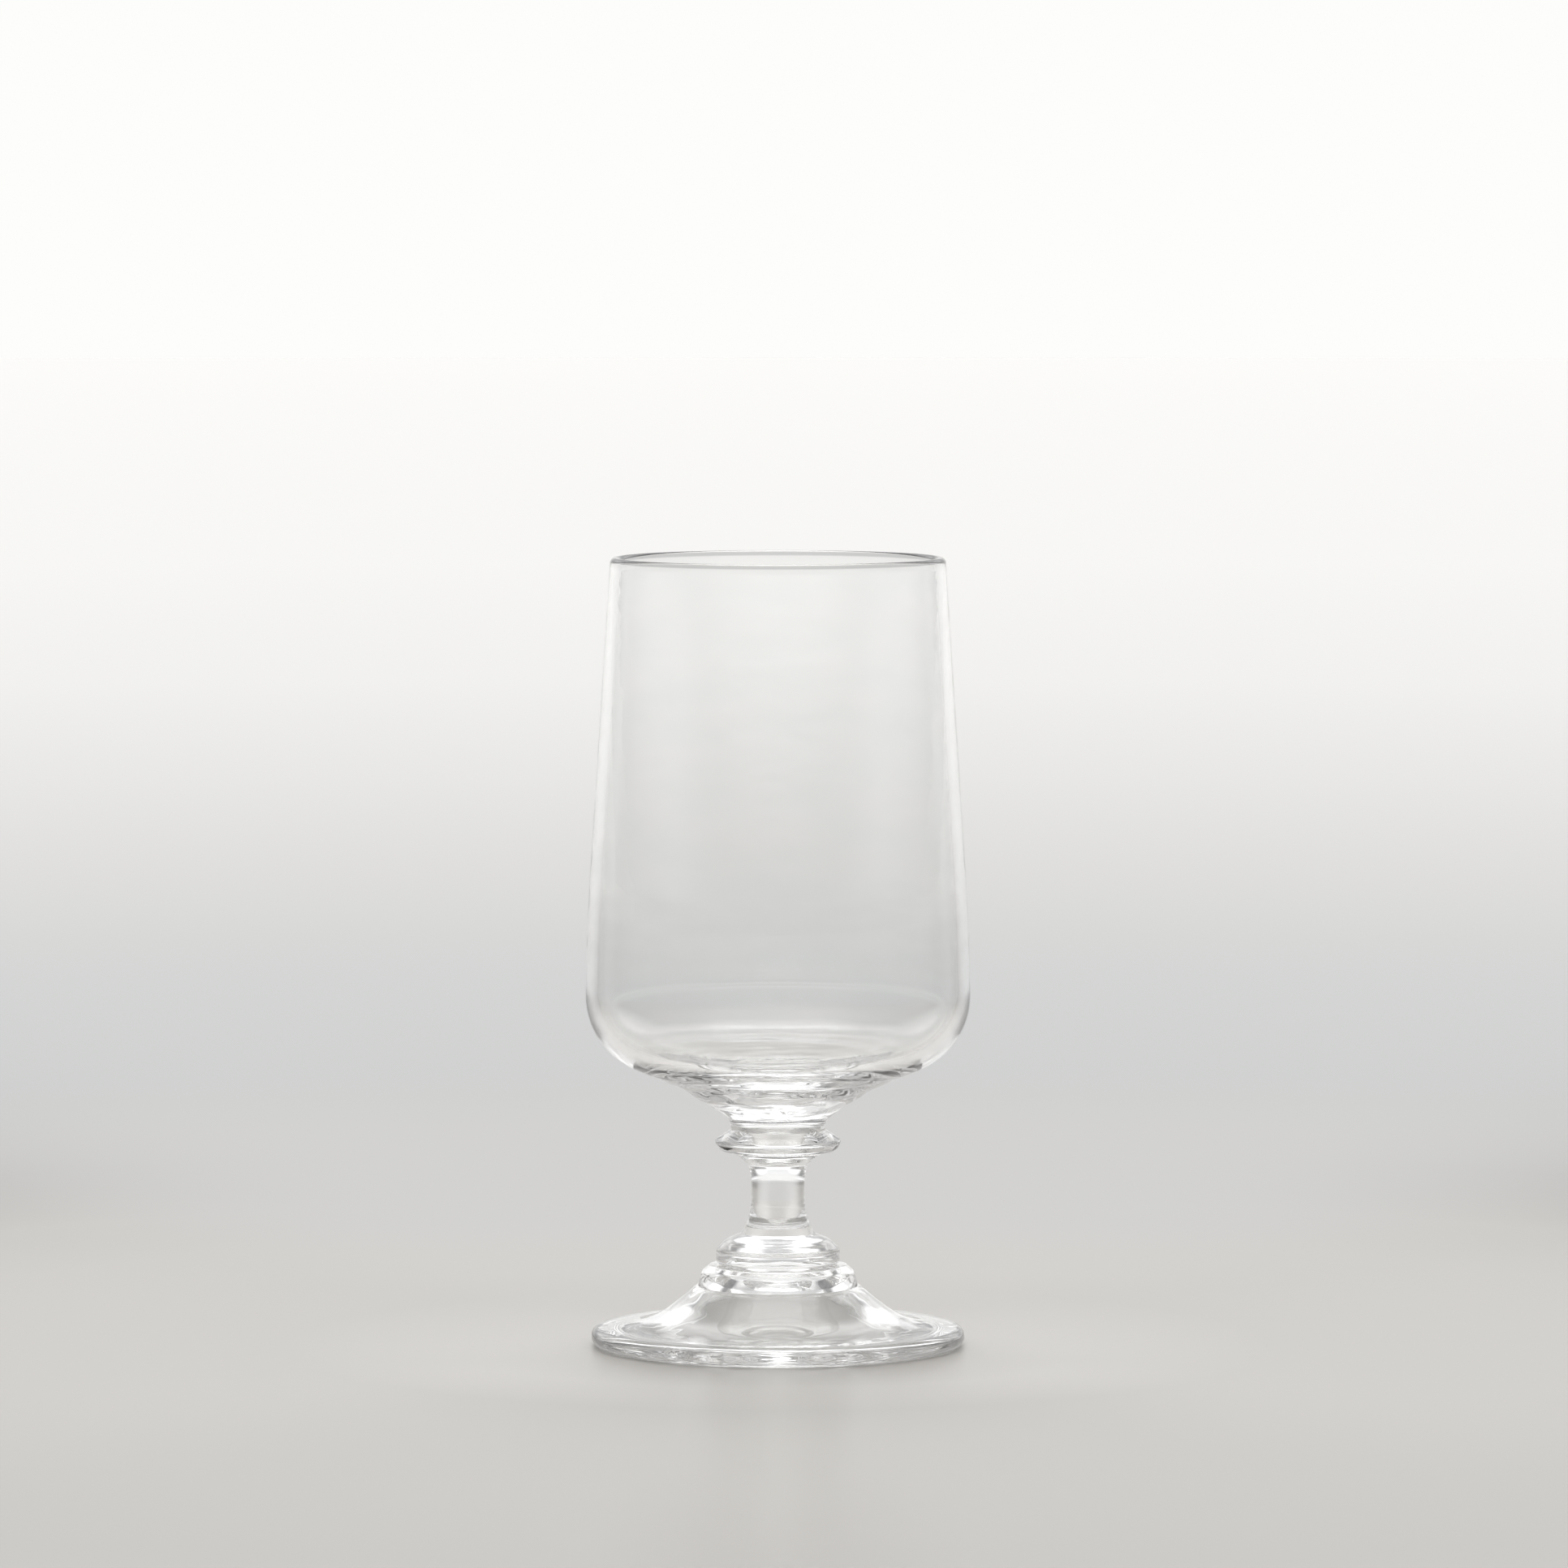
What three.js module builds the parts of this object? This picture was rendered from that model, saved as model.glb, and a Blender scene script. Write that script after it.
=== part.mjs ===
// A stemmed whisky glass in clear glass, in millimetres, with +Z up.
// Six gathers of glass are stacked and welded hot: foot, foot collar, knop, stem, merese and bowl.
// Each is a solid of revolution about Z that meets the next one on a flat weld face.
// The origin is the middle of the resting face.

import * as THREE from 'three';

// Heights of the six pieces, from the resting face up to the lip
const FOOT_HEIGHT = 11.5;
const COLLAR_HEIGHT = 4.0;
const KNOP_HEIGHT = 6.0;
const STEM_HEIGHT = 15.0;
const MERESE_HEIGHT = 4.75;
const BOWL_HEIGHT = 108.75;

// Radii of the weld faces that two pieces share
const NECK_RADIUS = 9.05;
const STEM_TOP_RADIUS = 7.9;
const STEM_BASE_RADIUS = 7.0;
const KNOP_BASE_RADIUS = 10.9;
const COLLAR_RADIUS = 15.2;

// Bowl: outside
const RIM_RADIUS = 31.75;
const BEND_RADIUS = 36.15;
const BEND_HEIGHT = 40.75;
const BELLY_RADIUS = 36.75;
const BELLY_HEIGHT = 15.6;
const FUNNEL_RADIUS = 18.5;
const FUNNEL_HEIGHT = 8.2;
const NECK_HEIGHT = 1.95;
const BEND_FILLET = 300;
const BELLY_FILLET = 15.0;
const FUNNEL_FILLET = 40;
const NECK_FILLET = 2.0;

// Bowl: inside
const LIP_WALL = 2.05;
const LIP_FILLET = 1.0;
const SIDE_WALL = 2.35;
const BASE_THICKNESS = 9.5;
const DISH_FLAT_RADIUS = 9.0;
const DISH_RISE = 7.0;
const DISH_FILLET = 60;

// Merese: a disc with a flared skirt, a round edge and a coned top
const MERESE_RADIUS = 11.9;
const MERESE_SKIRT_INSET = 0.8;
const MERESE_SKIRT_HEIGHT = 0.9;
const MERESE_EDGE_BASE = 2.2;
const MERESE_EDGE_WIDTH = 0.7;
const MERESE_SKIRT_FILLET = 1.2;
const MERESE_EDGE_FILLET = 0.9;

// Stem: swept in to a waist from both ends, with a short flare under the merese
const STEM_ANKLE_RADIUS = 6.25;
const STEM_ANKLE_HEIGHT = 1.3;
const STEM_WAIST_RADIUS = 5.07;
const STEM_WAIST_BASE = 4.0;
const STEM_WAIST_TOP = 10.2;
const STEM_THROAT_RADIUS = 5.72;
const STEM_THROAT_DROP = 1.9;
const STEM_ANKLE_FILLET = 0.8;
const STEM_LOWER_SWEEP = 13.3;
const STEM_UPPER_SWEEP = 25.6;
const STEM_THROAT_FILLET = 1.0;

// Knop: a dome over a short round-edged band
const KNOP_RADIUS = 11.75;
const KNOP_BAND_BASE = 0.5;
const KNOP_BAND_WIDTH = 2.5;
const KNOP_DOME_RADIUS = 10.0;
const KNOP_DOME_DROP = 1.25;
const KNOP_EDGE_FILLET = 0.8;
const KNOP_SHOULDER_FILLET = 1.5;
const KNOP_DOME_FILLET = 4.0;

// Foot collar: a step with a round shoulder, a ledge around the knop and a blind recess beneath
const COLLAR_SHOULDER_INSET = 0.7;
const COLLAR_SHOULDER_HEIGHT = 2.8;
const COLLAR_LEDGE = 2.1;
const COLLAR_SHOULDER_FILLET = 2.0;
const COLLAR_LEDGE_FILLET = 0.8;
const RECESS_HEIGHT = 2.2;
const RECESS_TAPER = 2.0;
const RECESS_FILLET = 1.2;

// Foot: a bell with a flange and a full round edge, hollow right up into the collar
const FOOT_RADIUS = 35.5;
const FOOT_SHELF = 0.3;
const FLANGE_WIDTH = 10.7;
const FLANGE_RISE = 4.1;
const FOOT_EDGE_THICKNESS = 3.5;
const RESTING_WIDTH = 4.5;
const FLANGE_CLEARANCE = 0.8;
const FLANGE_SLOPE = 0.25;
const HOLLOW_INSET = 4.3;
const HOLLOW_NECK_WALL = 3.7;
const BELL_FILLET = 16.7;
const HOLLOW_FILLET = 17;
const RING_FILLET = 1.5;

// Facets: steps around the axis, and the fewest and widest steps along a rounded corner
const AROUND_STEPS = 56;
const FEWEST_ARC_STEPS = 2;
const ARC_STEP_DEGREES = 18;

// An outline corner in the half plane of radius and height, rounded by its fillet
function corner(radius, height, fillet = 0) {
  const point = new THREE.Vector2(radius, height);
  return { point, fillet };
}

// How far from a corner its arc starts if there is room for all of it
function wantedSetback(before, here, after) {
  if (here.fillet === 0) {
    return 0;
  }
  const back = before.point.clone().sub(here.point);
  const ahead = after.point.clone().sub(here.point);
  return here.fillet / Math.tan(back.angleTo(ahead) / 2);
}

// The points that round one corner: an arc that touches both straight stretches
function roundedCorner(before, here, after, setback) {
  if (setback === 0) {
    return [here.point];
  }
  const back = before.point.clone().sub(here.point).normalize();
  const ahead = after.point.clone().sub(here.point).normalize();
  const halfAngle = back.angleTo(ahead) / 2;
  const radius = setback * Math.tan(halfAngle);
  const bisector = back.clone().add(ahead).normalize();
  const centre = here.point.clone().addScaledVector(bisector, radius / Math.sin(halfAngle));
  const start = here.point.clone().addScaledVector(back, setback).sub(centre).angle();
  const end = here.point.clone().addScaledVector(ahead, setback).sub(centre).angle();
  const clockwise = back.cross(ahead) > 0;
  const turn = 180 - THREE.MathUtils.radToDeg(2 * halfAngle);
  const steps = Math.max(FEWEST_ARC_STEPS, Math.ceil(turn / ARC_STEP_DEGREES));
  const arc = new THREE.EllipseCurve(centre.x, centre.y, radius, radius, start, end, clockwise);
  return arc.getPoints(steps);
}

// The whole outline of a piece: from the axis round its skin and back to the axis,
// or, where its first corner is off the axis, once round a ring.
// Two arcs that need more than the stretch between them shrink alike to share it.
function roundedOutline(corners) {
  const count = corners.length;
  const previous = (index) => (index + count - 1) % count;
  const next = (index) => (index + 1) % count;
  const wanted = corners.map((here, index) => (
    wantedSetback(corners[previous(index)], here, corners[next(index)])
  ));
  const shareOfStretch = (index, neighbour) => {
    const room = corners[index].point.distanceTo(corners[neighbour].point);
    return Math.min(1, room / (wanted[index] + wanted[neighbour]));
  };
  const points = corners.flatMap((here, index) => {
    const before = previous(index);
    const after = next(index);
    const share = Math.min(shareOfStretch(index, before), shareOfStretch(index, after));
    return roundedCorner(corners[before], here, corners[after], wanted[index] * share);
  });
  if (points[0].x > 0) {
    points.push(points[0]);
  }
  return points;
}

// Clear, colourless glass
const CLEAR_GLASS = { color: 0xf4f7f6, roughness: 0.02, metalness: 0, transparent: true, opacity: 0.35 };

// Turns an outline about Z and stands the piece on its base height
function turnedPiece(name, corners, baseHeight) {
  const geometry = new THREE.LatheGeometry(roundedOutline(corners), AROUND_STEPS);
  const heightToZ = new THREE.Matrix4().set(
    1, 0, 0, 0,
    0, 0, -1, 0,
    0, 1, 0, 0,
    0, 0, 0, 1,
  );
  geometry.applyMatrix4(heightToZ);
  const mesh = new THREE.Mesh(geometry, new THREE.MeshStandardMaterial(CLEAR_GLASS));
  mesh.name = name;
  mesh.position.z = baseHeight;
  return mesh;
}

// The foot is a ring: the hollow runs from the flange up the bell and out at the top
function footCorners() {
  const topRadius = COLLAR_RADIUS + FOOT_SHELF;
  const flareRadius = FOOT_RADIUS - FLANGE_WIDTH;
  const restingInner = FOOT_RADIUS - RESTING_WIDTH;
  const edgeFillet = FOOT_EDGE_THICKNESS / 2;
  return [
    corner(COLLAR_RADIUS - HOLLOW_NECK_WALL, FOOT_HEIGHT),
    corner(flareRadius - HOLLOW_INSET, FLANGE_CLEARANCE + FLANGE_SLOPE, HOLLOW_FILLET),
    corner(restingInner - FLANGE_CLEARANCE, FLANGE_CLEARANCE, RING_FILLET),
    corner(restingInner, 0),
    corner(FOOT_RADIUS, 0, edgeFillet),
    corner(FOOT_RADIUS, FOOT_EDGE_THICKNESS, edgeFillet),
    corner(flareRadius, FLANGE_RISE, BELL_FILLET),
    corner(topRadius, FOOT_HEIGHT),
  ];
}

// The recess closes the hollow of the foot with a flat ceiling
function collarCorners() {
  const recessRadius = COLLAR_RADIUS - HOLLOW_NECK_WALL;
  return [
    corner(0, RECESS_HEIGHT),
    corner(recessRadius - RECESS_TAPER, RECESS_HEIGHT, RECESS_FILLET),
    corner(recessRadius, 0),
    corner(COLLAR_RADIUS, 0),
    corner(COLLAR_RADIUS - COLLAR_SHOULDER_INSET, COLLAR_SHOULDER_HEIGHT, COLLAR_SHOULDER_FILLET),
    corner(KNOP_BASE_RADIUS + COLLAR_LEDGE, COLLAR_HEIGHT, COLLAR_LEDGE_FILLET),
    corner(0, COLLAR_HEIGHT),
  ];
}

function knopCorners() {
  const bandTop = KNOP_BAND_BASE + KNOP_BAND_WIDTH;
  return [
    corner(0, 0),
    corner(KNOP_BASE_RADIUS, 0),
    corner(KNOP_RADIUS, KNOP_BAND_BASE, KNOP_EDGE_FILLET),
    corner(KNOP_RADIUS, bandTop, KNOP_SHOULDER_FILLET),
    corner(KNOP_DOME_RADIUS, KNOP_HEIGHT - KNOP_DOME_DROP, KNOP_DOME_FILLET),
    corner(STEM_BASE_RADIUS, KNOP_HEIGHT),
    corner(0, KNOP_HEIGHT),
  ];
}

function stemCorners() {
  return [
    corner(0, 0),
    corner(STEM_BASE_RADIUS, 0),
    corner(STEM_ANKLE_RADIUS, STEM_ANKLE_HEIGHT, STEM_ANKLE_FILLET),
    corner(STEM_WAIST_RADIUS, STEM_WAIST_BASE, STEM_LOWER_SWEEP),
    corner(STEM_WAIST_RADIUS, STEM_WAIST_TOP, STEM_UPPER_SWEEP),
    corner(STEM_THROAT_RADIUS, STEM_HEIGHT - STEM_THROAT_DROP, STEM_THROAT_FILLET),
    corner(STEM_TOP_RADIUS, STEM_HEIGHT),
    corner(0, STEM_HEIGHT),
  ];
}

function mereseCorners() {
  const edgeTop = MERESE_EDGE_BASE + MERESE_EDGE_WIDTH;
  return [
    corner(0, 0),
    corner(STEM_TOP_RADIUS, 0),
    corner(MERESE_RADIUS - MERESE_SKIRT_INSET, MERESE_SKIRT_HEIGHT, MERESE_SKIRT_FILLET),
    corner(MERESE_RADIUS, MERESE_EDGE_BASE, MERESE_SKIRT_FILLET),
    corner(MERESE_RADIUS, edgeTop, MERESE_EDGE_FILLET),
    corner(NECK_RADIUS, MERESE_HEIGHT),
    corner(0, MERESE_HEIGHT),
  ];
}

// The bowl runs from the neck up its outside, over the fire-polished lip and down its inside.
// Its heel is the belly's arc less the wall, so that the wall stays even round the belly.
function bowlCorners() {
  return [
    corner(0, 0),
    corner(NECK_RADIUS, 0),
    corner(NECK_RADIUS, NECK_HEIGHT, NECK_FILLET),
    corner(FUNNEL_RADIUS, FUNNEL_HEIGHT, FUNNEL_FILLET),
    corner(BELLY_RADIUS, BELLY_HEIGHT, BELLY_FILLET),
    corner(BEND_RADIUS, BEND_HEIGHT, BEND_FILLET),
    corner(RIM_RADIUS, BOWL_HEIGHT, LIP_FILLET),
    corner(RIM_RADIUS - LIP_WALL, BOWL_HEIGHT, LIP_FILLET),
    corner(BEND_RADIUS - SIDE_WALL, BEND_HEIGHT, BEND_FILLET),
    corner(BELLY_RADIUS - SIDE_WALL, BASE_THICKNESS + DISH_RISE, BELLY_FILLET - SIDE_WALL),
    corner(DISH_FLAT_RADIUS, BASE_THICKNESS, DISH_FILLET),
    corner(0, BASE_THICKNESS),
  ];
}

// The stack, from the foot up: each piece stands on the one before it
const stack = [
  { name: 'foot', corners: footCorners(), height: FOOT_HEIGHT },
  { name: 'foot_collar', corners: collarCorners(), height: COLLAR_HEIGHT },
  { name: 'knop', corners: knopCorners(), height: KNOP_HEIGHT },
  { name: 'stem', corners: stemCorners(), height: STEM_HEIGHT },
  { name: 'merese', corners: mereseCorners(), height: MERESE_HEIGHT },
  { name: 'bowl', corners: bowlCorners(), height: BOWL_HEIGHT },
];

const glass = new THREE.Group();
let baseHeight = 0;
for (const piece of stack) {
  glass.add(turnedPiece(piece.name, piece.corners, baseHeight));
  baseHeight += piece.height;
}

export default glass;
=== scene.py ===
"""Looks of a clear stemmed whisky glass: six welded pieces of glass on a pale studio floor."""
import math

import bmesh
import bpy
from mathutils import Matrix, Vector


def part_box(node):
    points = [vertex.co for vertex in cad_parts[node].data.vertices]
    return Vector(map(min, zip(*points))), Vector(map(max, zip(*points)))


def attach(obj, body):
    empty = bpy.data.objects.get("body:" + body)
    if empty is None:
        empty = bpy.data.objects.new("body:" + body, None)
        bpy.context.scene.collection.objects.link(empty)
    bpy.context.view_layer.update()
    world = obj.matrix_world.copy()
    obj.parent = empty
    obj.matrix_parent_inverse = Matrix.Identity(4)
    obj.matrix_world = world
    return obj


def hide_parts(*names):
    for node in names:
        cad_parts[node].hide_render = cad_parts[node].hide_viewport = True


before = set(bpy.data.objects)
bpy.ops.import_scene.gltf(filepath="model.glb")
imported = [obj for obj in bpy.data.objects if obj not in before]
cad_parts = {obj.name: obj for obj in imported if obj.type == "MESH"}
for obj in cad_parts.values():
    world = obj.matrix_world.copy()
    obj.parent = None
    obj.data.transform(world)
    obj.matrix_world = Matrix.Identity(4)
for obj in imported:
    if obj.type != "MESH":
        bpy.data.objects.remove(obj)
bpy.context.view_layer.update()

MM = 0.001

# Fineness of the turned surfaces
AROUND_STEPS = 240
ARC_STEP = math.radians(3)
STRAIGHT_STEP = 1.2 * MM
TINY = 1e-7


# Heights and radii that the frame gives
def base_of(node):
    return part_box(node)[0].z


def top_of(node):
    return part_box(node)[1].z


def radius_of(node):
    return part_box(node)[1].x


# Radii of the weld faces that two pieces share
NECK_RADIUS = 9.05 * MM
STEM_TOP_RADIUS = 7.9 * MM
STEM_BASE_RADIUS = 7.0 * MM
KNOP_BASE_RADIUS = 10.9 * MM
COLLAR_RADIUS = radius_of("foot_collar")
HOLLOW_NECK_RADIUS = COLLAR_RADIUS - 3.7 * MM


# Turned outlines
class Corner:
    """A corner of an outline in the half plane of radius and height.

    The fillet rounds it, the ripple is how far the hand-worked skin wavers there, and the stretch
    that follows a weld corner is a face that two pieces share.
    """

    def __init__(self, radius, height, fillet=0.0, ripple=0.0, weld=False):
        self.point = Vector((radius, height))
        self.fillet = fillet
        self.ripple = ripple
        self.weld = weld


class Station:
    """A point of the finished outline, with its ripple and whether a weld face follows it."""

    def __init__(self, point, ripple, weld):
        self.point = point
        self.ripple = ripple
        self.weld = weld
        self.travel = 0.0


def wanted_setback(before, here, after):
    """How far from a corner its arc starts if there is room for all of it."""
    if here.fillet == 0:
        return 0.0
    half_angle = (before.point - here.point).angle(after.point - here.point) / 2
    return here.fillet / math.tan(half_angle)


def rounded_corner(before, here, after, setback):
    """The points that round one corner: an arc that touches both straight stretches."""
    if setback == 0:
        return [here.point]
    back = (before.point - here.point).normalized()
    ahead = (after.point - here.point).normalized()
    half_angle = back.angle(ahead) / 2
    radius = setback * math.tan(half_angle)
    centre = here.point + (back + ahead).normalized() * (radius / math.sin(half_angle))
    first = here.point + back * setback - centre
    turn = math.pi - 2 * half_angle
    if back.x * ahead.y - back.y * ahead.x > 0:
        turn = -turn
    start = math.atan2(first.y, first.x)
    steps = max(2, math.ceil(abs(turn) / ARC_STEP))
    angles = [start + turn * step / steps for step in range(steps + 1)]
    return [centre + Vector((math.cos(angle), math.sin(angle))) * radius for angle in angles]


def straight_stations(start, end):
    """Even stations between two others, whose ripple runs from the one to the other."""
    gap = end.point - start.point
    steps = max(1, math.ceil(gap.length / STRAIGHT_STEP))
    shares = [step / steps for step in range(1, steps)]
    return [
        Station(start.point + gap * share, start.ripple + (end.ripple - start.ripple) * share, start.weld)
        for share in shares
    ]


def finished_outline(corners):
    """The stations of an outline that runs from axis to axis, or closes on itself off the axis."""
    count = len(corners)
    threes = [(corners[index - 1], corners[index], corners[(index + 1) % count]) for index in range(count)]
    wanted = [wanted_setback(*three) for three in threes]
    rounded = []
    for index, (before, here, after) in enumerate(threes):
        share = 1.0
        for beside, near in ((before, wanted[index - 1]), (after, wanted[(index + 1) % count])):
            room = (beside.point - here.point).length
            share = min(share, room / max(wanted[index] + near, room))
        for point in rounded_corner(before, here, after, wanted[index] * share):
            if not rounded or (point - rounded[-1].point).length > TINY:
                rounded.append(Station(point, here.ripple, False))
        rounded[-1].weld = here.weld
    if rounded[0].point.x > TINY:
        rounded.append(rounded[0])
    outline = [rounded[0]]
    for start, end in zip(rounded, rounded[1:]):
        outline += straight_stations(start, end)
        outline.append(end)
    travel = 0.0
    for start, end in zip(outline, outline[1:]):
        travel += (end.point - start.point).length
        end.travel = travel
    return outline


# Waves of a hand-worked skin: share of the ripple, count round the axis, pitch along the outline, phase
SKIN_WAVES = [
    (0.60, 2, -6.5 * MM, 0.6),
    (0.30, 3, -11.0 * MM, 2.1),
    (0.20, 7, 5.0 * MM, 4.0),
    (0.10, 13, -9.0 * MM, 1.3),
]


def waver(angle, travel):
    """How a hand-worked skin rises and falls: a spiral cord of two starts with finer marks."""
    turn = 2 * math.pi * travel
    return sum(
        share * math.sin(count * angle + turn / pitch + phase)
        for share, count, pitch, phase in SKIN_WAVES
    )


def outward(outline, index):
    """The direction out of the glass at one station."""
    before = outline[max(index - 1, 0)].point
    after = outline[min(index + 1, len(outline) - 1)].point
    along = (after - before).normalized()
    return Vector((along.y, -along.x))


def ring_of(build, outline, index):
    """The vertices that one station makes round the axis."""
    station = outline[index]
    if station.point.x < TINY:
        return [build.verts.new((0, 0, station.point.y))]
    out = outward(outline, index)
    ring = []
    for step in range(AROUND_STEPS):
        angle = 2 * math.pi * step / AROUND_STEPS
        place = station.point + out * (station.ripple * waver(angle, station.travel))
        ring.append(build.verts.new((place.x * math.cos(angle), place.x * math.sin(angle), place.y)))
    return ring


def turned_mesh(name, corners):
    """A closed solid of revolution about Z, whose weld faces take the second material slot."""
    outline = finished_outline(corners)
    loops = outline[-1] is outline[0]
    build = bmesh.new()
    rings = [ring_of(build, outline, index) for index in range(len(outline) - loops)]
    if loops:
        rings.append(rings[0])
    for station, lower, upper in zip(outline, rings, rings[1:]):
        for step in range(AROUND_STEPS):
            following = (step + 1) % AROUND_STEPS
            if len(lower) == 1:
                loop = [lower[0], upper[following], upper[step]]
            elif len(upper) == 1:
                loop = [lower[step], lower[following], upper[0]]
            else:
                loop = [lower[step], lower[following], upper[following], upper[step]]
            face = build.faces.new(loop)
            face.smooth = True
            face.material_index = 1 if station.weld else 0
    for edge in build.edges:
        slots = {face.material_index for face in edge.link_faces}
        edge.smooth = len(slots) == 1
    mesh = bpy.data.meshes.new(name)
    build.to_mesh(mesh)
    build.free()
    return mesh


# Outlines of the six pieces
def foot_corners():
    base, top = base_of("foot"), top_of("foot")
    radius = radius_of("foot")
    top_radius = COLLAR_RADIUS + 0.3 * MM
    flare_radius = radius - 10.7 * MM
    flange_rise = 4.1 * MM
    hollow_radius = flare_radius - 4.3 * MM
    underside = 0.8 * MM
    hollow_rise = underside + 0.25 * MM
    edge = 3.5 * MM
    ring_inner = radius - 4.5 * MM
    return [
        Corner(HOLLOW_NECK_RADIUS, top),
        Corner(hollow_radius, hollow_rise, fillet=17 * MM, ripple=0.02 * MM),
        Corner(ring_inner - underside, underside, fillet=1.5 * MM),
        Corner(ring_inner, base, fillet=0.8 * MM),
        Corner(radius, base, fillet=edge / 2),
        Corner(radius, edge, fillet=edge / 2, ripple=0.08 * MM),
        Corner(flare_radius, flange_rise, fillet=16.7 * MM, ripple=0.015 * MM),
        Corner(top_radius, top),
        Corner(COLLAR_RADIUS, top, weld=True),
    ]


def collar_corners():
    base, top = base_of("foot_collar"), top_of("foot_collar")
    ceiling = base + 2.2 * MM
    ceiling_radius = HOLLOW_NECK_RADIUS - 2.0 * MM
    step_radius = 14.5 * MM
    step_height = base + 2.8 * MM
    shelf_radius = 13.0 * MM
    return [
        Corner(0, ceiling),
        Corner(ceiling_radius, ceiling, fillet=1.2 * MM, ripple=0.03 * MM),
        Corner(HOLLOW_NECK_RADIUS, base, weld=True),
        Corner(COLLAR_RADIUS, base),
        Corner(step_radius, step_height, fillet=2.0 * MM, ripple=0.05 * MM),
        Corner(shelf_radius, top, fillet=0.8 * MM),
        Corner(KNOP_BASE_RADIUS, top, weld=True),
        Corner(0, top),
    ]


def knop_corners():
    base, top = base_of("knop"), top_of("knop")
    radius = radius_of("knop")
    edge_base = base + 0.5 * MM
    edge_top = base + 3.0 * MM
    dome_radius = 10.0 * MM
    dome_height = top - 1.25 * MM
    return [
        Corner(0, base, weld=True),
        Corner(KNOP_BASE_RADIUS, base),
        Corner(radius, edge_base, fillet=0.8 * MM),
        Corner(radius, edge_top, fillet=1.5 * MM),
        Corner(dome_radius, dome_height, fillet=4.0 * MM),
        Corner(STEM_BASE_RADIUS, top, weld=True),
        Corner(0, top),
    ]


def stem_corners():
    base, top = base_of("stem"), top_of("stem")
    ankle_radius = 6.25 * MM
    ankle_height = base + 1.3 * MM
    waist = 5.07 * MM
    waist_base = base + 4.0 * MM
    waist_top = base + 11.2 * MM
    flare_radius = 5.72 * MM
    flare_height = top - 1.9 * MM
    return [
        Corner(0, base, weld=True),
        Corner(STEM_BASE_RADIUS, base),
        Corner(ankle_radius, ankle_height, fillet=0.8 * MM),
        Corner(waist, waist_base, fillet=13.3 * MM),
        Corner(waist, waist_top, fillet=18.0 * MM),
        Corner(flare_radius, flare_height, fillet=1.0 * MM),
        Corner(STEM_TOP_RADIUS, top, weld=True),
        Corner(0, top),
    ]


def merese_corners():
    base, top = base_of("merese"), top_of("merese")
    radius = radius_of("merese")
    underside_radius = 11.1 * MM
    underside_height = base + 0.9 * MM
    edge_base = base + 2.2 * MM
    edge_top = base + 2.9 * MM
    return [
        Corner(0, base, weld=True),
        Corner(STEM_TOP_RADIUS, base),
        Corner(underside_radius, underside_height, fillet=1.2 * MM),
        Corner(radius, edge_base, fillet=1.2 * MM),
        Corner(radius, edge_top, fillet=0.9 * MM),
        Corner(NECK_RADIUS, top, weld=True),
        Corner(0, top),
    ]


def bowl_corners():
    base, top = base_of("bowl"), top_of("bowl")
    rim = 31.75 * MM
    belly = 36.75 * MM
    belly_height = base + 15.6 * MM
    bend = 36.15 * MM
    bend_height = base + 40.75 * MM
    bend_fillet = 300 * MM
    lip_fillet = 1.0 * MM
    lip_wall = 2.05 * MM
    side_wall = 2.35 * MM
    neck_top = base + 1.95 * MM
    funnel_radius = 18.5 * MM
    funnel_height = base + 8.2 * MM
    floor = base + 9.5 * MM
    heel = floor + 7.0 * MM
    dish_radius = 9 * MM
    return [
        Corner(0, base, weld=True),
        Corner(NECK_RADIUS, base),
        Corner(NECK_RADIUS, neck_top, fillet=2.0 * MM, ripple=0.10 * MM),
        Corner(funnel_radius, funnel_height, fillet=40 * MM, ripple=0.14 * MM),
        Corner(belly, belly_height, fillet=15 * MM),
        Corner(bend, bend_height, fillet=bend_fillet),
        Corner(rim, top, fillet=lip_fillet),
        Corner(rim - lip_wall, top, fillet=lip_fillet),
        Corner(bend - side_wall, bend_height, fillet=bend_fillet),
        Corner(belly - side_wall, heel, fillet=12.65 * MM),
        Corner(dish_radius, floor, fillet=60 * MM, ripple=0.10 * MM),
        Corner(0, floor),
    ]


# Shader trees
def add_node(tree, kind, inputs=None, **settings):
    """A node with its settings, whose inputs are plain values or the outputs of other nodes."""
    node = tree.nodes.new(kind)
    for name, value in settings.items():
        setattr(node, name, value)
    for socket, value in (inputs or {}).items():
        if isinstance(value, bpy.types.NodeSocket):
            tree.links.new(value, node.inputs[socket])
        else:
            node.inputs[socket].default_value = value
    return node


def add_ramp(tree, position, stops):
    """A colour ramp of (position, colour) stops."""
    node = add_node(tree, "ShaderNodeValToRGB", {"Fac": position})
    elements = node.color_ramp.elements
    while len(elements) < len(stops):
        elements.new(1.0)
    for element, (place, colour) in zip(elements, stops):
        element.position = place
        element.color = (*colour, 1)
    return node.outputs["Color"]


def smooth_step(tree, value, low, high):
    node = add_node(
        tree, "ShaderNodeMapRange", {"Value": value, "From Min": low, "From Max": high},
        interpolation_type="SMOOTHSTEP",
    )
    return node.outputs["Result"]


def heading(tree, direction):
    """From 1 straight behind the glass to -1 straight in front, from a direction or a place."""
    parts = add_node(tree, "ShaderNodeSeparateXYZ", {0: direction})
    level = add_node(tree, "ShaderNodeCombineXYZ", {"X": parts.outputs["X"], "Y": parts.outputs["Y"]})
    unit = add_node(tree, "ShaderNodeVectorMath", {0: level.outputs["Vector"]}, operation="NORMALIZE")
    return add_node(tree, "ShaderNodeSeparateXYZ", {0: unit.outputs["Vector"]}).outputs["Y"]


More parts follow.
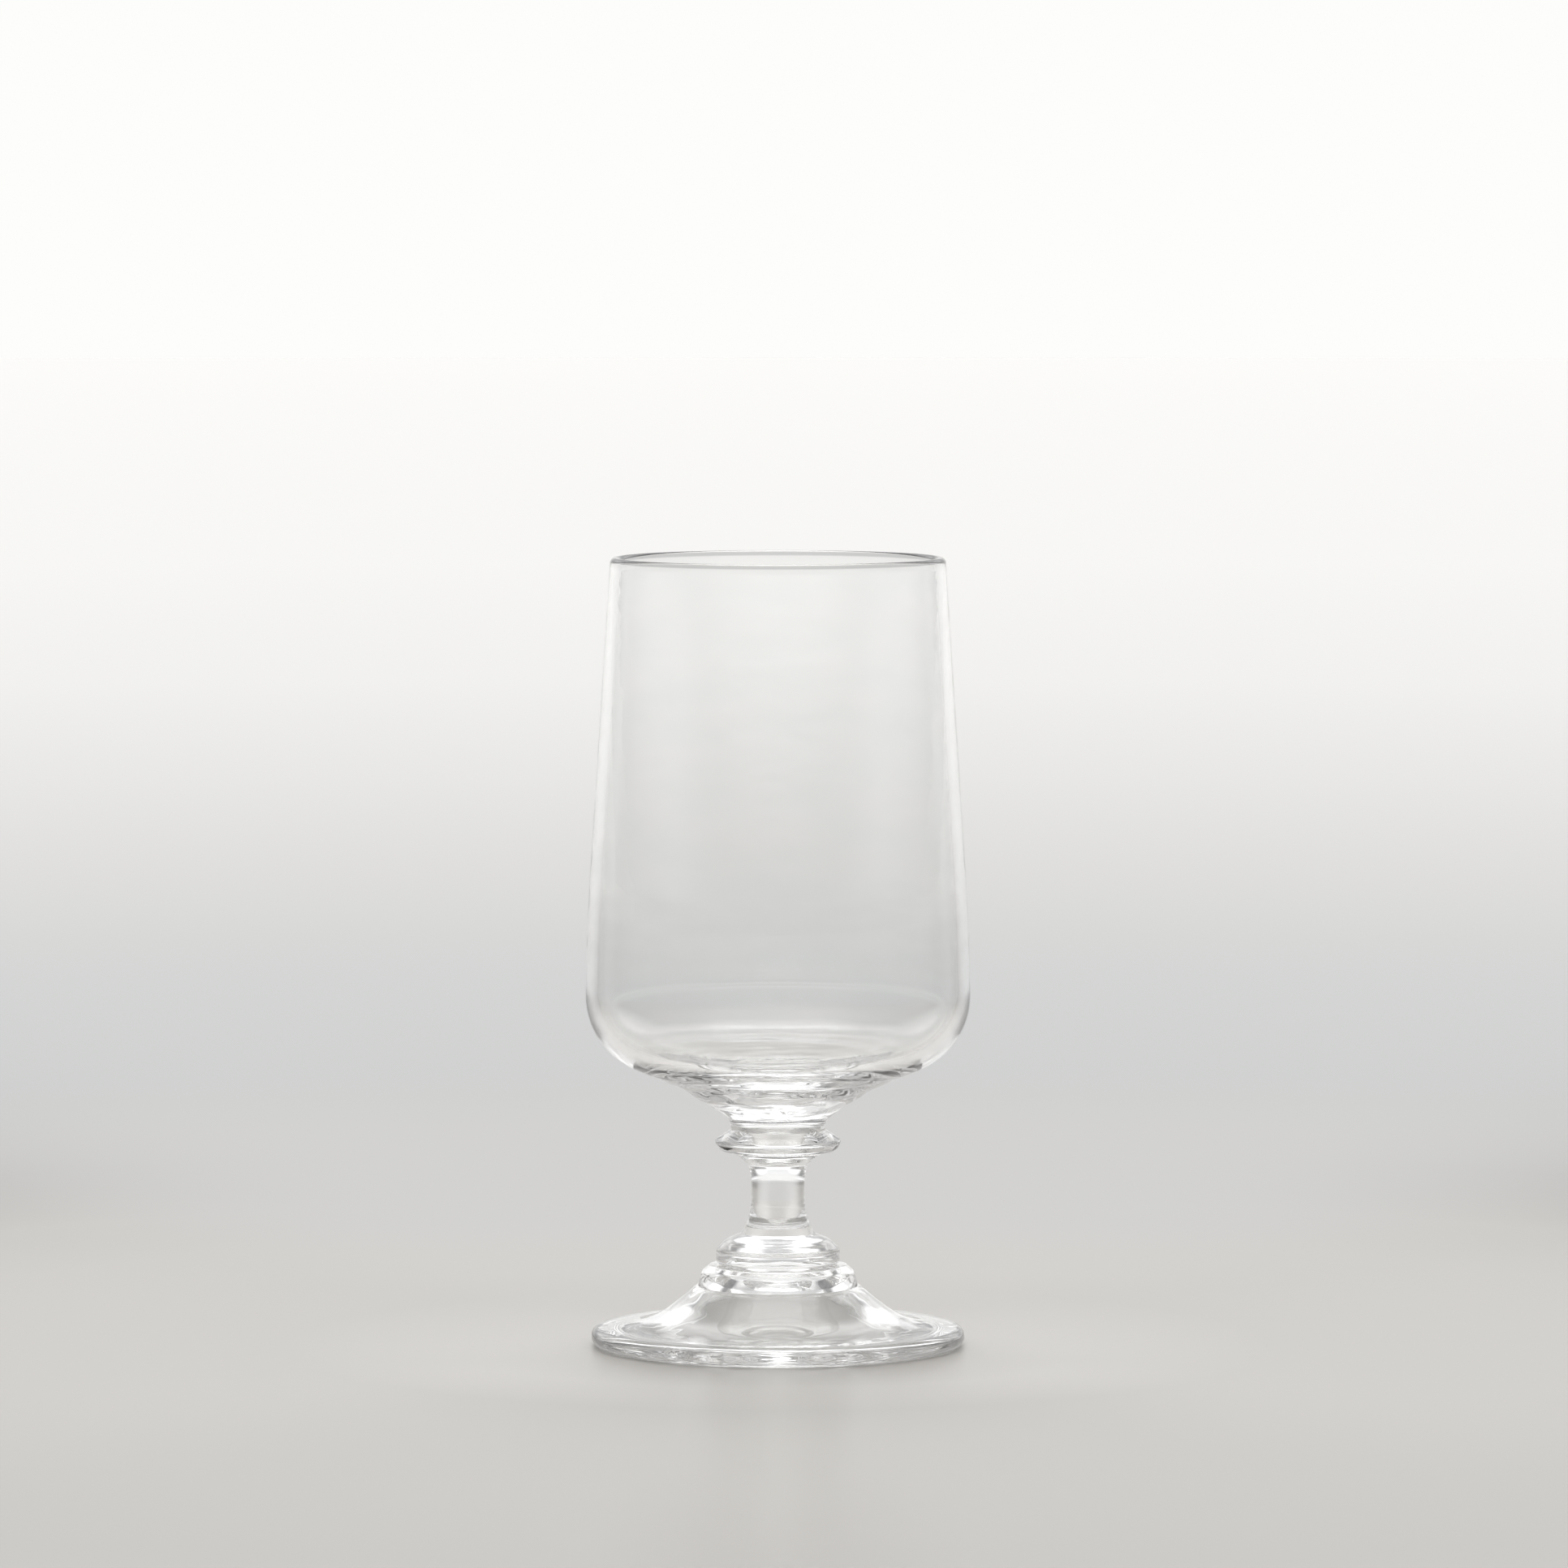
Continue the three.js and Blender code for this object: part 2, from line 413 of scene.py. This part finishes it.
# Sockets of a mix node that take and give colours
MIX_SHARE, MIX_FIRST, MIX_SECOND = 0, 6, 7
MIX_RESULT = 2


def mixed(tree, share, first, second):
    inputs = {MIX_SHARE: share, MIX_FIRST: first, MIX_SECOND: second}
    return add_node(tree, "ShaderNodeMix", inputs, data_type="RGBA").outputs[MIX_RESULT]


# Headings between which the tones of two sides blend
FRONT_BLEND = (-0.3, -0.9)
BACK_BLEND = (0.70, 0.97)


def around(tree, direction, behind, beside, before):
    """Blends the tones behind the glass, beside it and before it, by the heading of a direction."""
    along = heading(tree, direction)
    nearer = mixed(tree, smooth_step(tree, along, *FRONT_BLEND), beside, before)
    return mixed(tree, smooth_step(tree, along, *BACK_BLEND), nearer, behind)


def new_material(name):
    material = bpy.data.materials.new(name)
    material.use_nodes = True
    material.node_tree.nodes.clear()
    return material


def finish_material(material, shader):
    add_node(material.node_tree, "ShaderNodeOutputMaterial", {"Surface": shader.outputs[0]})
    return material


# Glass
GLASS_IOR = 1.5
SHADED_TINT = (0.970, 0.976, 0.974)
LIGHT_TINT = (0.990, 0.988, 0.986)
CLOUD_SCALE = 70.0
CLOUD_STRETCH = (1.0, 1.0, 2.2)
SKIN_SCALE = 900.0
UNPOLISHED_SKIN = (0.55, 0.85)
HAZE = 0.012
TOOLING_DEPTH = 1.0 * MM
TOOLING_STRENGTH = 0.2
TOOLED_UP_TO = 48 * MM
BLOWN_FROM = 60 * MM
BLOWN_SHARE = 0.06


def clear_glass():
    """Clear glass with a faint uneven tint, a fire-polished skin and soft tooling waves.

    The waves are full up to the bowl's neck, fade over its thick base and are faint on its wall.
    """
    material = new_material("clear_glass")
    tree = material.node_tree
    place = add_node(tree, "ShaderNodeTexCoord").outputs["Object"]
    stretched = add_node(tree, "ShaderNodeMapping", {"Vector": place, "Scale": CLOUD_STRETCH})
    cloud = add_node(tree, "ShaderNodeTexNoise", {
        "Vector": stretched.outputs["Vector"],
        "Scale": CLOUD_SCALE,
        "Detail": 2.0,
    }).outputs["Fac"]
    tint = add_ramp(tree, cloud, [(0.3, SHADED_TINT), (0.7, LIGHT_TINT)])
    skin = add_node(tree, "ShaderNodeTexNoise", {"Vector": place, "Scale": SKIN_SCALE, "Detail": 3.0})
    unpolished = smooth_step(tree, skin.outputs["Fac"], *UNPOLISHED_SKIN)
    haze = add_node(tree, "ShaderNodeMath", {0: unpolished, 1: HAZE}, operation="MULTIPLY")
    height = add_node(tree, "ShaderNodeSeparateXYZ", {0: place}).outputs["Z"]
    tooled = add_node(tree, "ShaderNodeMapRange", {
        "Value": height,
        "From Min": TOOLED_UP_TO,
        "From Max": BLOWN_FROM,
        "To Min": 1.0,
        "To Max": BLOWN_SHARE,
    }, interpolation_type="SMOOTHSTEP")
    relief = add_node(tree, "ShaderNodeMath", {0: cloud, 1: tooled.outputs["Result"]}, operation="MULTIPLY")
    waves = add_node(tree, "ShaderNodeBump", {
        "Height": relief.outputs[0],
        "Strength": TOOLING_STRENGTH,
        "Distance": TOOLING_DEPTH,
    })
    shader = add_node(tree, "ShaderNodeBsdfPrincipled", {
        "Base Color": tint,
        "Roughness": haze.outputs[0],
        "IOR": GLASS_IOR,
        "Transmission Weight": 1.0,
        "Normal": waves.outputs["Normal"],
    })
    return finish_material(material, shader)


def weld_face():
    """Lets light straight through, because a weld leaves no seam."""
    material = new_material("weld_face")
    return finish_material(material, add_node(material.node_tree, "ShaderNodeBsdfTransparent"))


GLASS = clear_glass()
WELD = weld_face()


def add_piece(node, corners):
    mesh = turned_mesh(node + "_glass", corners)
    mesh.materials.append(GLASS)
    mesh.materials.append(WELD)
    piece = bpy.data.objects.new(node + "_glass", mesh)
    bpy.context.scene.collection.objects.link(piece)
    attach(piece, "root")
    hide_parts(node)


add_piece("foot", foot_corners())
add_piece("foot_collar", collar_corners())
add_piece("knop", knop_corners())
add_piece("stem", stem_corners())
add_piece("merese", merese_corners())
add_piece("bowl", bowl_corners())


# Tones of the room
def grey(level):
    return (level, level, level)


def warm(level):
    return (1.026 * level, level, 0.957 * level)


def cool(level):
    return (0.990 * level, level, 0.985 * level)


def pale(level):
    return (1.009 * level, level, 0.980 * level)


# The sky by elevation in degrees
BACKDROP_WHITE = (0.982, 0.982, 0.965)
BACK_SKY = [
    (0, BACKDROP_WHITE),
    (5.4, BACKDROP_WHITE),
    (8, grey(0.96)),
    (24, grey(0.90)),
    (31, grey(0.60)),
    (41, grey(0.68)),
    (50, grey(0.95)),
    (62, grey(0.80)),
    (75, grey(0.55)),
]
SIDE_SKY = [
    (0, grey(0.55)),
    (1.2, grey(0.90)),
    (2.1, grey(1.20)),
    (3.5, grey(1.00)),
    (7.5, grey(0.30)),
    (30, grey(0.25)),
    (60, grey(0.50)),
]
FRONT_SKY = [
    (0, grey(0.28)),
    (2.6, grey(0.30)),
    (3.5, grey(0.90)),
    (4.8, grey(1.70)),
    (8, grey(0.90)),
    (12, grey(0.62)),
    (60, grey(0.50)),
]

# The floor's colour by distance from the axis in metres, painted with light and shade: a pool of light under
# the foot, a lighter ring that offsets the contact shadow, brighter far behind, darker far to the sides and
# the front
FLOOR_RADIUS = 8.0
FLOOR_DROP = 0.02 * MM
FLOOR_SHEEN = 0.24
FLOOR_ROUGHNESS = 0.25
WHITE = (1, 1, 1, 1)
# Painted light: the floor inside the foot's hollow is much lighter, a painted pool of the light that the
# glass gathers there, falling off under the resting ring
PAINTED_LIGHT_UNDER_FOOT = [
    (0.000, warm(0.93)),
    (0.023, warm(0.93)),
    (0.029, warm(0.74)),
    (0.035, warm(0.68)),
]
BACK_FLOOR_PAINTED_SHADING = PAINTED_LIGHT_UNDER_FOOT + [
    # Painted light: a lighter ring next to the foot that offsets its contact shadow
    (0.040, warm(0.70)),
    (0.070, warm(0.650)),
    (0.120, warm(0.662)),
    (0.21, pale(0.650)),
    (0.41, pale(0.648)),
    (0.53, cool(0.644)),
    # Painted light: the floor grows brighter far behind, where it runs into the white backdrop
    (0.80, cool(0.670)),
    (1.15, pale(0.730)),
    (1.60, pale(0.805)),
    (2.20, pale(0.882)),
    (3.30, pale(0.932)),
    (8.00, pale(0.976)),
]
SIDE_FLOOR_PAINTED_SHADING = PAINTED_LIGHT_UNDER_FOOT + [
    # Painted light: a lighter ring next to the foot that offsets its contact shadow
    (0.040, warm(0.87)),
    (0.055, warm(0.71)),
    (0.070, warm(0.650)),
    (0.100, warm(0.645)),
    (0.18, warm(0.640)),
    # Painted shade: the floor grows darker far to the sides
    (0.25, warm(0.600)),
    (0.34, warm(0.440)),
    (0.80, pale(0.465)),
    (1.40, pale(0.555)),
    (3.00, pale(0.775)),
    (8.00, pale(0.845)),
]
FRONT_FLOOR_PAINTED_SHADING = PAINTED_LIGHT_UNDER_FOOT + [
    # Painted light: a lighter ring next to the foot that offsets its contact shadow
    (0.040, warm(0.82)),
    (0.065, warm(0.73)),
    (0.085, warm(0.660)),
    (0.120, warm(0.650)),
    (0.165, warm(0.635)),
    (0.28, warm(0.605)),
    # Painted shade: the floor grows darker far in front
    (1.00, warm(0.530)),
    (3.00, pale(0.435)),
    (8.00, pale(0.400)),
]


def under_sheen(painted_shading_tone):
    """The matt colour that shows as a tone once the floor also mirrors the white backdrop."""
    pairs = zip(painted_shading_tone, BACKDROP_WHITE)
    return [(value - FLOOR_SHEEN * mirrored) / (1 - FLOOR_SHEEN) for value, mirrored in pairs]


def by_reach(tones):
    return [(radius / FLOOR_RADIUS, under_sheen(painted_shading_tone)) for radius, painted_shading_tone in tones]


def painted_shading_floor_material():
    material = new_material("floor_painted_shading")
    tree = material.node_tree
    place = add_node(tree, "ShaderNodeNewGeometry").outputs["Position"]
    distance = add_node(tree, "ShaderNodeVectorMath", {0: place}, operation="LENGTH")
    metres = distance.outputs["Value"]
    reach = add_node(tree, "ShaderNodeMath", {0: metres, 1: FLOOR_RADIUS}, operation="DIVIDE")
    # The floor's colour carries painted light and shade by distance and heading: a painted pool of light
    # under the foot, a painted lighter ring over the contact shadow, and painted falloff far out
    painted_floor_shadings = (BACK_FLOOR_PAINTED_SHADING, SIDE_FLOOR_PAINTED_SHADING, FRONT_FLOOR_PAINTED_SHADING)
    tones = [add_ramp(tree, reach.outputs[0], by_reach(stops)) for stops in painted_floor_shadings]
    painted_shading_tone = around(tree, place, *tones)
    matt = add_node(tree, "ShaderNodeBsdfDiffuse", {"Color": painted_shading_tone})
    sheen = add_node(tree, "ShaderNodeBsdfGlossy", {"Color": WHITE, "Roughness": FLOOR_ROUGHNESS})
    shader = add_node(tree, "ShaderNodeMixShader", {0: FLOOR_SHEEN, 1: matt.outputs[0], 2: sheen.outputs[0]})
    return finish_material(material, shader)


def add_floor():
    """A round pale floor a hair below the resting ring, so that their faces don't coincide."""
    build = bmesh.new()
    bmesh.ops.create_circle(build, cap_ends=True, radius=FLOOR_RADIUS, segments=128)
    mesh = bpy.data.meshes.new("floor")
    build.to_mesh(mesh)
    build.free()
    mesh.materials.append(painted_shading_floor_material())
    floor = bpy.data.objects.new("floor", mesh)
    floor.location.z = -FLOOR_DROP
    bpy.context.scene.collection.objects.link(floor)


# Light
class Softbox:
    """A round patch of light in the sky: its direction and half widths in degrees, and its strength."""

    def __init__(self, azimuth, elevation, inner, outer, strength):
        turn, rise = math.radians(azimuth), math.radians(elevation)
        self.towards = (math.sin(turn) * math.cos(rise), math.cos(turn) * math.cos(rise), math.sin(rise))
        self.inner = math.cos(math.radians(inner))
        self.outer = math.cos(math.radians(outer))
        self.strength = strength


SOFTBOXES = [
    Softbox(azimuth=-28, elevation=25, inner=8, outer=20, strength=0.9),
    Softbox(azimuth=28, elevation=25, inner=8, outer=20, strength=0.9),
    Softbox(azimuth=-18, elevation=50, inner=6, outer=16, strength=1.0),
    Softbox(azimuth=18, elevation=50, inner=6, outer=16, strength=1.0),
    Softbox(azimuth=0, elevation=70, inner=8, outer=24, strength=2.5),
    Softbox(azimuth=180, elevation=70, inner=12, outer=42, strength=0.58),
]


def by_elevation(tones):
    return [(math.sin(math.radians(angle)), colour) for angle, colour in tones]


def patch_strength(tree, direction, box):
    """How bright a softbox is in a direction: full inside, none outside, with a soft edge."""
    nearness = add_node(tree, "ShaderNodeVectorMath", {0: direction, 1: box.towards}, operation="DOT_PRODUCT")
    edge = smooth_step(tree, nearness.outputs["Value"], box.outer, box.inner)
    return add_node(tree, "ShaderNodeMath", {0: edge, 1: box.strength}, operation="MULTIPLY").outputs[0]


def add_world():
    world = bpy.data.worlds.new("studio")
    bpy.context.scene.world = world
    world.use_nodes = True
    tree = world.node_tree
    tree.nodes.clear()
    direction = add_node(tree, "ShaderNodeTexCoord").outputs["Generated"]
    rise = add_node(tree, "ShaderNodeSeparateXYZ", {0: direction}).outputs["Z"]
    tones = [add_ramp(tree, rise, by_elevation(stops)) for stops in (BACK_SKY, SIDE_SKY, FRONT_SKY)]
    room = around(tree, direction, *tones)
    light = add_node(tree, "ShaderNodeBackground", {"Color": room, "Strength": 1.0})
    for box in SOFTBOXES:
        strength = patch_strength(tree, direction, box)
        lamp = add_node(tree, "ShaderNodeBackground", {"Color": WHITE, "Strength": strength})
        light = add_node(tree, "ShaderNodeAddShader", {0: light.outputs[0], 1: lamp.outputs[0]})
    add_node(tree, "ShaderNodeOutputWorld", {"Surface": light.outputs[0]})


# Camera
CAMERA_PLACE = (1.15 * MM, -1800 * MM, 230 * MM)
CAMERA_DIP = math.radians(3.909)
CAMERA_LENS = 218.55
SENSOR_WIDTH = 36
FARTHEST_SEEN = 100


def add_camera():
    data = bpy.data.cameras.new("camera")
    data.sensor_width = SENSOR_WIDTH
    data.lens = CAMERA_LENS
    data.clip_end = FARTHEST_SEEN
    camera = bpy.data.objects.new("camera", data)
    camera.location = CAMERA_PLACE
    camera.rotation_euler = (math.pi / 2 - CAMERA_DIP, 0, 0)
    bpy.context.scene.collection.objects.link(camera)
    bpy.context.scene.camera = camera


add_floor()
add_world()
add_camera()
scene = bpy.context.scene
scene.view_settings.view_transform = "Standard"
scene.cycles.max_bounces = 32
scene.cycles.transmission_bounces = 32
scene.cycles.glossy_bounces = 16
scene.cycles.transparent_max_bounces = 32
